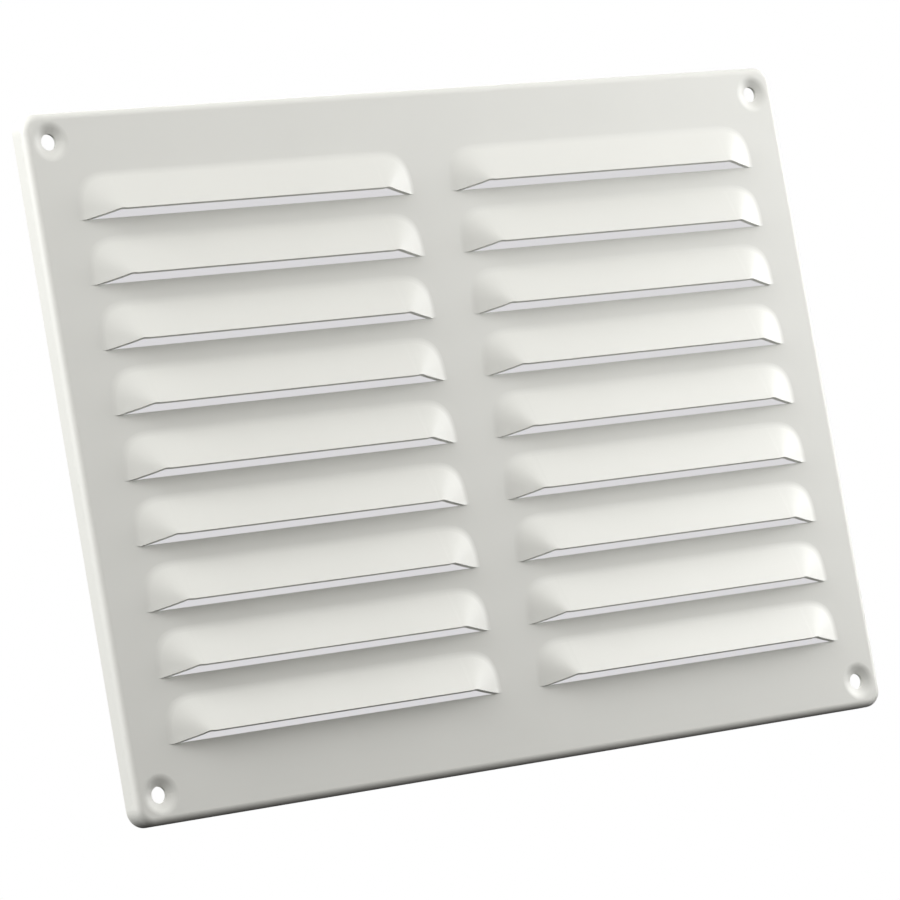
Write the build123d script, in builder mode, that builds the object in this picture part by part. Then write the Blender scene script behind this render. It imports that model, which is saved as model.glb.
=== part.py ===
"""A louvred wall grille, pressed from one sheet: a shallow tray with two columns of lanced hoods.

The frame is the grille as it hangs on a wall: X runs across, Z up, and the front faces -Y.
The origin is the middle of the four screw holes, half way through the sheet at the holes.
"""
import os
from math import atan2, cos, sin, tan

from build123d import *

# Sheet and tray, in millimetres
sheet = 1.0
plate_width = 305.0
plate_height = 229.0
rim_depth = 7.0
rim_bend = 2.5
corner_radius = 6.0

# Screw holes, each at the bottom of a shallow dimple
hole_inset = 9.5
hole_diameter = 5.4
dimple_diameter = 11.4
dimple_depth = 1.4
dimple_bend = 4.0

# Louvres: a slit is lanced, and the sheet above it is pressed out to a hood
louvre_columns = 2
louvre_rows = 9
louvre_length = 130.0
louvre_pitch = 21.1
column_gap = 14.9
first_slit_below_top = 35.6
hood_fold = 14.3
fold_bend = 5.0
lip_height = 5.4
lip_setback = 2.1

# Sizes that follow from the ones above
hole_radius = hole_diameter / 2
hole_spacing_x = plate_width - 2 * hole_inset
hole_spacing_z = plate_height - 2 * hole_inset
front_plane = Plane.XZ.offset(dimple_depth + sheet / 2)
hood_slope = atan2(lip_height, hood_fold - lip_setback)
hood_top = hood_fold + fold_bend * tan(hood_slope / 2)
hood_root = hood_top + sheet
hood_straight = louvre_length - 2 * hood_top
column_spacing = louvre_length + column_gap
slit_middle = plate_height / 2 - first_slit_below_top - louvre_pitch * (louvre_rows - 1) / 2

# One hood on its own: x along the slit, y up from the slit, z out of the front of the sheet
lip_front = (lip_setback, lip_height)
lip_back = (lip_setback - sheet * sin(hood_slope), lip_height - sheet * cos(hood_slope))
fold_back = hood_fold - sheet * tan(hood_slope / 2)
end_axis = Axis((hood_straight / 2, 0, 0), (0, 0, 1))
lip_end_front = Vector(hood_straight / 2, *lip_front)
lip_end_back = Vector(hood_straight / 2, *lip_back)
bend_run = fold_bend * sin(hood_slope)
bend_rise = fold_bend * (1 - cos(hood_slope))
lip_end_foot = Vector(hood_straight / 2 + hood_top - bend_run, 0, bend_rise)
lip_end_normal = (lip_end_foot - lip_end_front).cross(lip_end_back - lip_end_front)

with BuildSketch() as hood_section:
    with BuildLine():
        Polyline(
            (hood_root, 0),
            (hood_fold, 0),
            lip_front,
            lip_back,
            (fold_back, -sheet),
            (hood_root, -sheet),
            close=True,
        )
    make_face()
    fillet(vertices().sort_by_distance((hood_fold, 0))[0], fold_bend)

# Its rounded end, with the lip cut straight from the end of the slit to the full height
with BuildPart() as hood_end:
    with BuildSketch(Plane.YZ.offset(hood_straight / 2)):
        add(hood_section.sketch)
    revolve(axis=end_axis, revolution_arc=-90)
    split(bisect_by=Plane(lip_end_foot, z_dir=lip_end_normal), keep=Keep.TOP)

with BuildPart() as hood:
    with BuildSketch(Plane.YZ):
        add(hood_section.sketch)
    extrude(amount=hood_straight / 2)
    add(hood_end.part)
    mirror(about=Plane.YZ)

# The sheet that one hood is pressed from: half a slot above the straight slit
with BuildPart() as hood_blank:
    with BuildSketch():
        SlotCenterToCenter(hood_straight, 2 * hood_root)
        Rectangle(plate_width, hood_root, align=(Align.CENTER, Align.MIN), mode=Mode.INTERSECT)
    extrude(amount=-sheet)

# One dimple on its own, with z out of the front of the sheet
dimple_radius = dimple_diameter / 2
dimple_border = dimple_radius + sheet

with BuildPart() as dimple:
    with BuildSketch(Plane.XZ):
        with BuildLine():
            Polyline(
                (dimple_border, 0),
                (dimple_radius, 0),
                (hole_radius, -dimple_depth),
                (hole_radius, -dimple_depth - sheet),
                (dimple_radius, -sheet),
                (dimple_border, -sheet),
                close=True,
            )
        make_face()
        fillet(vertices().sort_by_distance((dimple_radius, 0, 0))[0], dimple_bend)
    revolve(axis=Axis.Z)

# The room behind the sheet, bounded by its back and the inside of its rim
with BuildPart() as tray_hollow:
    with BuildSketch(front_plane.offset(-sheet)):
        RectangleRounded(plate_width - 2 * sheet, plate_height - 2 * sheet, corner_radius - sheet)
    extrude(amount=-rim_depth)
    fillet(faces().sort_by(Axis.Y)[0].edges(), rim_bend - sheet)

# The pressed sheet: a rounded tray, hollow at the back, with its dimples and louvres
with BuildPart() as louvre_plate:
    with BuildSketch(front_plane):
        RectangleRounded(plate_width, plate_height, corner_radius)
    extrude(amount=-rim_depth)
    fillet(faces().sort_by(Axis.Y)[0].edges(), rim_bend)
    add(tray_hollow.part, mode=Mode.SUBTRACT)
    with Locations(front_plane):
        with GridLocations(hole_spacing_x, hole_spacing_z, 2, 2):
            Cylinder(dimple_border, 2 * sheet, mode=Mode.SUBTRACT)
            add(dimple.part)
    with Locations(front_plane.location * Location((0, slit_middle, 0))):
        with GridLocations(column_spacing, louvre_pitch, louvre_columns, louvre_rows):
            add(hood_blank.part, mode=Mode.SUBTRACT)
            add(hood.part)

louvre_plate.part.label = "louvre_plate"
os.makedirs("parts", exist_ok=True)
export_step(louvre_plate.part, "parts/louvre_plate.step")
print("louvre plate volume", round(louvre_plate.part.volume, 1), "solids", len(louvre_plate.solids()))
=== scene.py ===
# %% [markdown]
# This lesson dresses a louvred wall grille: one sheet of aluminium, pressed to a shallow tray,
# lanced to rows of hoods and coated white. The solid already has the folds, hoods, dimples and
# holes of the real sheet at their real size. Only the ends of the hoods are touched up here, and
# the sheet gets its finish. The first step opens the frame that the solid comes in, and keeps
# the box that it fills.

import math

import bpy
import numpy as np
from mathutils import Matrix, Vector


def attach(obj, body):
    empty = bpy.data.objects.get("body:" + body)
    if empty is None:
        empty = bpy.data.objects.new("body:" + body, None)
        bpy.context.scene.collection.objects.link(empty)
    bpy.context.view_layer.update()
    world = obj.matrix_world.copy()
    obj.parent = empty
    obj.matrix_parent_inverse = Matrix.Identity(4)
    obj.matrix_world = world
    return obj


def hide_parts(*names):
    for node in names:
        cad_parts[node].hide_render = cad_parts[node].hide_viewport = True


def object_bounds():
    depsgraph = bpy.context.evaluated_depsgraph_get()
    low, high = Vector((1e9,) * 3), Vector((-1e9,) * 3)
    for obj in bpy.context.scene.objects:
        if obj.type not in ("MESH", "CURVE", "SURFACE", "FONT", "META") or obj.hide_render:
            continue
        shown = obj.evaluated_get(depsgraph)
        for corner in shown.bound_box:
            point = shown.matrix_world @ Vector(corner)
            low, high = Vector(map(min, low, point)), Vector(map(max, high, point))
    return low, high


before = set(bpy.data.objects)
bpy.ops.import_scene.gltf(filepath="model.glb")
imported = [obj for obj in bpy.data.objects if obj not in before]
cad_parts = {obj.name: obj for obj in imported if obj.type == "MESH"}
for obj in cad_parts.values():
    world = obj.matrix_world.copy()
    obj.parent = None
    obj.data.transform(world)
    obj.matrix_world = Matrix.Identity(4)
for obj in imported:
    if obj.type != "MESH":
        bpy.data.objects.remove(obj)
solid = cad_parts["louvre_plate"]
cad_low, cad_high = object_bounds()
cad_size_mm = [round(1000 * side, 1) for side in cad_high - cad_low]
print("the grille measures", cad_size_mm, "mm")

# %% [markdown]
# Colours are written as sRGB hex values, as a paint chart gives them. Blender's shaders work in
# linear light, so one function turns the one into the other. A second small function adds a
# node, sets its values and draws the links that lead into it. A third starts an empty material.

# %% Helpers for every material
def linear(hex_colour, alpha=1.0):
    """The sRGB curve undone: values under 0.04045 are divided by 12.92, the rest raised to 2.4."""
    channels = np.array([int(hex_colour[i:i + 2], 16) for i in (1, 3, 5)]) / 255
    low, high = channels / 12.92, ((channels + 0.055) / 1.055) ** 2.4
    return (*np.where(channels <= 0.04045, low, high).tolist(), alpha)


def add_node(tree, kind, inputs=(), **settings):
    """Adds a node. A pair in inputs is a socket's name or number and a value or an output."""
    node = tree.nodes.new(kind)
    for name, value in settings.items():
        setattr(node, name, value)
    for socket, value in inputs:
        if isinstance(value, bpy.types.NodeSocket):
            tree.links.new(value, node.inputs[socket])
        else:
            node.inputs[socket].default_value = value
    return node


def new_material(name):
    """An empty material, as its node tree and its output node."""
    material = bpy.data.materials.new(name)
    material.use_nodes = True
    material.node_tree.nodes.clear()
    output = add_node(material.node_tree, "ShaderNodeOutputMaterial")
    return material, material.node_tree, output


print("helpers are ready")

# %% [markdown]
# Seen from the front, the real hoods have squarer ends than the solid's quarter circles: the
# outline runs almost straight down the end and turns the corner in about ten millimetres. So the
# plate that is shown is a copy of the solid's mesh, merged, with the corners of its hoods pushed
# out in the plane of the sheet. Each quarter circle becomes a superellipse. The depths, the slits
# and the straight parts of the hoods stay, and the flat sheet around takes up the stretch.
# The first five values are lengths of the solid in metres, and the sixth counts its rows.

# %% Plate with squarer hood ends
hood_reach = 0.01536
hood_half = 0.04964
column_middle = 0.07245
lowest_slit = -0.0899
louvre_pitch = 0.0211
louvre_rows = 9
squareness = 3.2
bend_margin = 0.0012
slit_margin = 0.0006
stretch_start = hood_reach + bend_margin
stretch_end = louvre_pitch - slit_margin
merge_digits = 7


def squarer(points):
    """Moves points in the sheet's plane, from quarter circles at the hoods' ends to superellipses."""
    along = points[:, 0] - np.copysign(column_middle, points[:, 0])
    past = np.maximum(np.abs(along) - hood_half, 0)
    row = np.clip((points[:, 2] - lowest_slit) // louvre_pitch, 0, louvre_rows - 1)
    above = np.maximum(points[:, 2] - lowest_slit - row * louvre_pitch, 0)
    reach, turn = np.hypot(past, above), np.arctan2(above, past)
    sides = np.cos(turn) ** squareness + np.sin(turn) ** squareness
    share = np.clip((stretch_end - reach) / (stretch_end - stretch_start), 0, 1)
    gain = share * (sides ** (-1 / squareness) - 1)
    moved = points.copy()
    moved[:, 0] += gain * past * np.sign(along)
    moved[:, 2] += gain * above
    return moved


def squarer_normals(points, normals, step=0.000001):
    """Normals after the move: the transposed inverse of the stretch that the sheet gets there."""
    across = (squarer(points + (step, 0, 0)) - squarer(points - (step, 0, 0))) / (2 * step)
    upward = (squarer(points + (0, 0, step)) - squarer(points - (0, 0, step))) / (2 * step)
    area = across[:, 0] * upward[:, 2] - across[:, 2] * upward[:, 0]
    turned = normals.copy()
    turned[:, 0] = (upward[:, 2] * normals[:, 0] - across[:, 2] * normals[:, 2]) / area
    turned[:, 2] = (across[:, 0] * normals[:, 2] - upward[:, 0] * normals[:, 0]) / area
    return turned / np.linalg.norm(turned, axis=1, keepdims=True)


def read(items, field, width, kind=float):
    """One field of all the vertices or corners of a mesh, as rows."""
    values = np.empty(width * len(items), kind)
    items.foreach_get(field, values)
    return values.reshape(-1, width)


loose = read(solid.data.vertices, "co", 3)
points, merged = np.unique(loose.round(merge_digits), axis=0, return_inverse=True)
corners = merged.reshape(-1)[read(solid.data.loops, "vertex_index", 1, np.int32)]
normals = squarer_normals(points[corners[:, 0]], read(solid.data.corner_normals, "vector", 3))
plate_mesh = bpy.data.meshes.new("pressed_plate")
plate_mesh.from_pydata(squarer(points).tolist(), [], corners.reshape(-1, 3).tolist())
plate_mesh.shade_smooth()
plate_mesh.normals_split_custom_set(normals.tolist())
plate = bpy.data.objects.new("pressed_plate", plate_mesh)
bpy.context.scene.collection.objects.link(plate)
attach(plate, "root")
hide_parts("louvre_plate")
furthest = 1000 * np.abs(squarer(points) - points).max()
print(plate.name, "has", len(plate_mesh.polygons), "faces, moved", round(furthest, 2), "mm at most")

# %% [markdown]
# The finish is white polyester powder coat, sprayed dry and baked until it flows together. It
# hides the metal, so the shader is a plain dielectric with an IOR of 1.5. Flowing leaves a fine
# orange peel, which is a bump about a millimetre and a half across. The film is a little duller
# where it is thinner, and its white drifts by a shade over a few centimetres. Each pattern is
# noise on Object coordinates, in metres, so that its scale is one over a real size.

# %% White powder coat
peel_width = 0.0016
peel_height = 0.000007
film_drift = 0.045
gloss_patch = 0.012
least_rough, most_rough = 0.40, 0.52
coat_ior = 1.5


def powder_coat():
    """White powder coat: satin, off-white, with orange peel and slow drifts of tone and gloss."""
    material, tree, output = new_material("white_powder_coat")
    place = add_node(tree, "ShaderNodeTexCoord").outputs["Object"]
    drift = add_node(
        tree,
        "ShaderNodeTexNoise",
        [("Vector", place), ("Scale", 1 / film_drift), ("Detail", 3.0), ("Roughness", 0.5)],
    )
    tone = add_node(
        tree,
        "ShaderNodeMix",
        [("Factor", drift.outputs["Fac"]), ("A", linear("#E3E4DF")), ("B", linear("#E9EAE5"))],
        data_type="RGBA",
    )
    patches = add_node(
        tree,
        "ShaderNodeTexNoise",
        [("Vector", place), ("Scale", 1 / gloss_patch), ("Detail", 4.0), ("Roughness", 0.6)],
    )
    dullness = add_node(
        tree,
        "ShaderNodeMapRange",
        [("Value", patches.outputs["Fac"]), ("To Min", least_rough), ("To Max", most_rough)],
    )
    peel = add_node(
        tree,
        "ShaderNodeTexNoise",
        [("Vector", place), ("Scale", 1 / peel_width), ("Detail", 1.5), ("Roughness", 0.45)],
    )
    bump = add_node(
        tree,
        "ShaderNodeBump",
        [("Height", peel.outputs["Fac"]), ("Strength", 1.0), ("Distance", peel_height)],
    )
    coat = add_node(
        tree,
        "ShaderNodeBsdfPrincipled",
        [
            ("Base Color", tone.outputs["Result"]),
            ("Roughness", dullness.outputs["Result"]),
            ("IOR", coat_ior),
            ("Normal", bump.outputs["Normal"]),
        ],
    )
    tree.links.new(coat.outputs["BSDF"], output.inputs["Surface"])
    return material


plate.data.materials.append(powder_coat())
print("coated", plate.name, "with", plate.data.materials[0].name)

# %% [markdown]
# The photograph has a white ground with nothing on it, but the turned edge at the bottom is almost
# black in it, so something dark lay under the grille. A wide dark floor below it does that here.
# The camera looks up a little, so the floor stays out of the picture. The world is white to the
# camera, to mirrored rays and to rays that pass through, and a dim warm grey to all others.

# %% Dark floor and white ground
floor_drop = 0.2
floor_half = 2.2
floor_height = cad_low.z - floor_drop


def dark_floor():
    """Dull and dark all over."""
    material, tree, output = new_material("dark_floor")
    dark = add_node(tree, "ShaderNodeBsdfDiffuse", [("Color", linear("#303030"))])
    tree.links.new(dark.outputs[0], output.inputs["Surface"])
    return material


def white_ground():
    """White where the ground itself is seen, and dim to light that falls on the grille."""
    ground = bpy.data.worlds.new("white_ground")
    ground.use_nodes = True
    tree = ground.node_tree
    tree.nodes.clear()
    path = add_node(tree, "ShaderNodeLightPath").outputs
    mirrored = [(0, path["Is Glossy Ray"]), (1, path["Is Transmission Ray"])]
    indirect = add_node(tree, "ShaderNodeMath", mirrored, operation="MAXIMUM").outputs[0]
    both = [(0, path["Is Camera Ray"]), (1, indirect)]
    seen = add_node(tree, "ShaderNodeMath", both, operation="MAXIMUM").outputs[0]
    tones = [("Factor", seen), ("A", linear("#807B76")), ("B", linear("#FFFFFF"))]
    shade = add_node(tree, "ShaderNodeMix", tones, data_type="RGBA").outputs["Result"]
    light = add_node(tree, "ShaderNodeBackground", [("Color", shade)])
    add_node(tree, "ShaderNodeOutputWorld", [("Surface", light.outputs[0])])
    return ground


def stage_square(name, points, material):
    """A flat four-cornered piece of the stage."""
    mesh = bpy.data.meshes.new(name)
    mesh.from_pydata(points, [], [(0, 1, 2, 3)])
    mesh.materials.append(material)
    square = bpy.data.objects.new(name, mesh)
    bpy.context.scene.collection.objects.link(square)


signs = [(-1, -1), (1, -1), (1, 1), (-1, 1)]
floor_points = [(floor_half * x, floor_half * y, floor_height) for x, y in signs]
stage_square("floor", floor_points, dark_floor())
bpy.context.scene.world = white_ground()
print("floor at", round(1000 * floor_height), "mm")

# %% [markdown]
# The mouths of the hoods are open, and the photograph shows a pale grey ground in them, darker
# than the white around the grille, because the white ground there lies in the grille's shade. A
# sheet with that shade painted on stands for it, as a fixed glow that only the camera sees. It
# hangs a millimetre behind the rim, so the plate hides it everywhere else. From behind it is
# clear, so that the hollow back can still be looked at.

# %% Painted shade behind the mouths
paper_gap = 0.001
paper_left, paper_right = -0.140, 0.150
paper_half_height = 0.097


def painted_shade_paper():
    """Painted shade, glowing a fixed tone to the camera on its front, and clear to all other rays and
    from behind.
    """
    material, tree, output = new_material("painted_shade_paper")
    seen = add_node(tree, "ShaderNodeLightPath").outputs["Is Camera Ray"]
    behind = add_node(tree, "ShaderNodeNewGeometry").outputs["Backfacing"]
    front = add_node(
        tree,
        "ShaderNodeMath",
        [(0, seen), (1, behind)],
        operation="SUBTRACT",
        use_clamp=True,
    )
    clear = add_node(tree, "ShaderNodeBsdfTransparent")
    # Painted shade: the white ground in the grille's shade, as a fixed glow that lights nothing.
    painted_shade_glow = add_node(tree, "ShaderNodeEmission", [("Color", linear("#D9D8DA"))])
    sides = [(0, front.outputs[0]), (1, clear.outputs[0]), (2, painted_shade_glow.outputs[0])]
    surface = add_node(tree, "ShaderNodeMixShader", sides)
    tree.links.new(surface.outputs[0], output.inputs["Surface"])
    return material


paper_depth = cad_high.y + paper_gap
paper_ends = [(paper_left, -1), (paper_right, -1), (paper_right, 1), (paper_left, 1)]
paper_points = [(x, paper_depth, paper_half_height * side) for x, side in paper_ends]
stage_square("paper", paper_points, painted_shade_paper())
print("paper at", round(1000 * paper_depth, 1), "mm")

# %% [markdown]
# The light is soft and comes from square panels. Two stand at the right, so the plate is brighter
# on that side and the right ends of the hoods are brightest. The one above makes the hoods
# brighter than the plate, and the one in front softens the shadows under them. The one at the left
# is almost level with the plate and lights its turned edge. One behind the plate doesn't show in
# the photograph, and lights the hollow side. Each is an area lamp that points at the middle of
# the screw holes.

# %% Lamps
lamps = {
    "left": {"place": (-1.083, -0.095, 0.507), "side": 0.8, "watts": 13.2},
    "right": {"place": (1.120, -0.300, 0.311), "side": 0.8, "watts": 7.0},
    "near_right": {"place": (0.669, -0.312, 0.130), "side": 0.5, "watts": 1.8},
    "top": {"place": (-0.344, -0.596, 0.983), "side": 0.8, "watts": 3.2},
    "front": {"place": (0.570, -0.987, 0.373), "side": 0.8, "watts": 3.2},
    "back": {"place": (0.450, 1.050, 0.550), "side": 0.8, "watts": 6.0},
}
for name, lamp in lamps.items():
    data = bpy.data.lights.new(name, "AREA")
    data.size = lamp["side"]
    data.energy = lamp["watts"]
    panel = bpy.data.objects.new(name, data)
    panel.location = lamp["place"]
    panel.rotation_euler = (-panel.location).to_track_quat("-Z", "Y").to_euler()
    panel.visible_camera = False
    bpy.context.scene.collection.objects.link(panel)
print("lamps:", ", ".join(lamps))

# %% [markdown]
# The camera stands where the photograph was taken from: far off with a long lens, to the left of
# the grille and a little under its lower edge, and turned about its own axis. The places come
# from the four screw holes in the picture, which must fall on the holes of the solid.

# %% Camera
camera_place = Vector((-0.8919, -1.2639, -0.1305))
camera_target = Vector((-0.0113, -0.0019, -0.0078))
camera_turn = math.radians(-9.93)
film_width_mm = 36.0
focal_length_mm = 186.1
camera_data = bpy.data.cameras.new("photo_camera")
camera_data.sensor_width = film_width_mm
camera_data.lens = focal_length_mm
camera = bpy.data.objects.new("photo_camera", camera_data)
look = (camera_target - camera_place).to_track_quat("-Z", "Y").to_matrix().to_4x4()
camera.matrix_world = Matrix.Translation(camera_place) @ look @ Matrix.Rotation(camera_turn, 4, "Z")
bpy.context.scene.collection.objects.link(camera)
bpy.context.scene.camera = camera
bpy.context.scene.view_settings.view_transform = "Standard"
print("camera is", round((camera_target - camera_place).length, 3), "m away")
